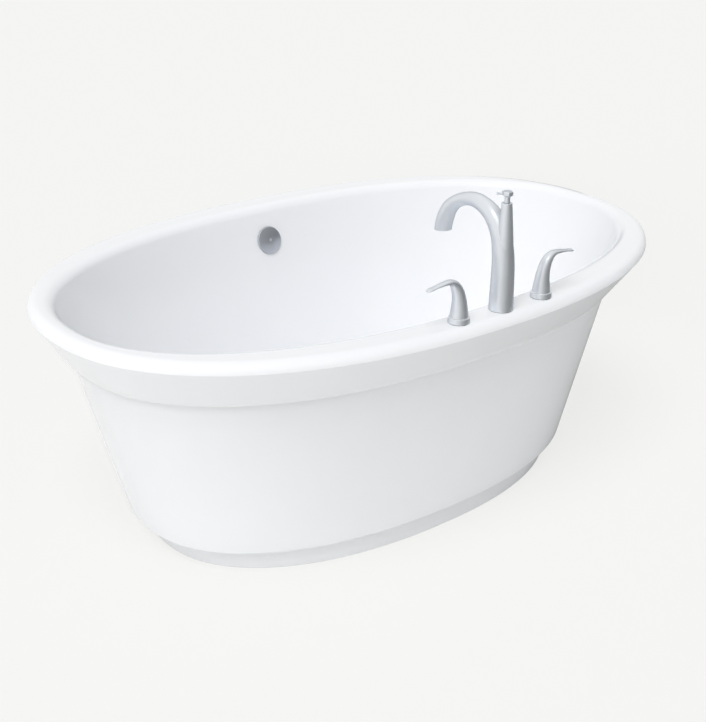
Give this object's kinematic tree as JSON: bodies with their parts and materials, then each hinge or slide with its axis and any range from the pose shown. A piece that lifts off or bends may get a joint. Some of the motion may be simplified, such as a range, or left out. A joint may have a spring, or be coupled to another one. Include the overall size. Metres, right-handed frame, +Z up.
{
  "type": "freestanding bathtub",
  "caption": "Oval freestanding bathtub with a flared rim lip, tapered skirt and plinth, deck-mounted arched spout with two lever taps, overflow cover and lift-up drain stopper.",
  "frame": {"origin": "on the floor, under the middle of the oval rim", "axes": "+X along the bath, -Y towards the taps, +Z up"},
  "size_m": [1.6759, 1.072, 0.8973],
  "materials": {
    "acrylic": "polished white sanitary acrylic",
    "satin_nickel": "satin nickel plating over brass",
    "polished_nickel": "polished plating",
    "brass": "machined, unplated",
    "rubber": "matt moulded",
    "white_pvc": "moulded",
    "birch_ply": "sealed plywood",
    "zinc_steel": "zinc plated",
    "copper": "drawn copper tube"
  },
  "bodies": {
    "root": {"tub_shell": "acrylic", "skirt_panel": "acrylic", "plinth_ring": "acrylic", "overflow_cover": "satin_nickel", "overflow_screw": "satin_nickel", "drain_flange": "satin_nickel", "spout_body": "satin_nickel", "hot_escutcheon": "satin_nickel", "cold_escutcheon": "satin_nickel", "hot_collar": "polished_nickel", "cold_collar": "polished_nickel", "spout_shank": "brass", "spout_nut": "brass", "hot_valve_body": "brass", "hot_nut": "brass", "cold_valve_body": "brass", "cold_nut": "brass", "overflow_gasket": "rubber", "drain_gasket": "rubber", "spout_gasket": "rubber", "spout_washer": "rubber", "hot_gasket": "rubber", "hot_washer": "rubber", "cold_gasket": "rubber", "cold_washer": "rubber", "overflow_elbow": "white_pvc", "overflow_pipe": "white_pvc", "drain_shoe": "white_pvc", "waste_pipe": "white_pvc", "slip_nuts": "white_pvc", "waste_tee": "white_pvc", "tailpiece": "white_pvc", "spout_insert": "white_pvc", "floor_board": "birch_ply", "rim_struts": "birch_ply", "cross_beams": "zinc_steel", "levelling_feet": "zinc_steel", "foot_lock_nuts": "zinc_steel", "strut_screws": "zinc_steel", "transfer_pipes": "copper"},
    "hot_handle": {"hot_lever": "satin_nickel", "hot_spindle": "brass", "hot_set_screw": "zinc_steel"},
    "cold_handle": {"cold_lever": "satin_nickel", "cold_spindle": "brass", "cold_set_screw": "zinc_steel"},
    "diverter": {"diverter_knob": "satin_nickel", "diverter_pin": "satin_nickel", "diverter_spindle": "brass"},
    "stopper": {"drain_stopper": "satin_nickel", "stopper_seal": "rubber"}
  },
  "joints": [
    {"name": "hot_lever_turn", "type": "hinge", "parent": "root", "child": "hot_handle", "pos_m": [-0.112, -0.491, 0.64], "axis": [0, 0, 1], "range_deg": [0, 90]},
    {"name": "cold_lever_turn", "type": "hinge", "parent": "root", "child": "cold_handle", "pos_m": [0.14, -0.491, 0.64], "axis": [0, 0, 1], "range_deg": [-90, 0]},
    {"name": "diverter_turn", "type": "hinge", "parent": "root", "child": "diverter", "pos_m": [0.014, -0.491, 0.8715], "axis": [0, 0, 1], "range_deg": [0, 90]},
    {"name": "stopper_lift", "type": "slide", "parent": "root", "child": "stopper", "axis": [0, 0, 1], "range_m": [0, 0.009]}
  ]
}
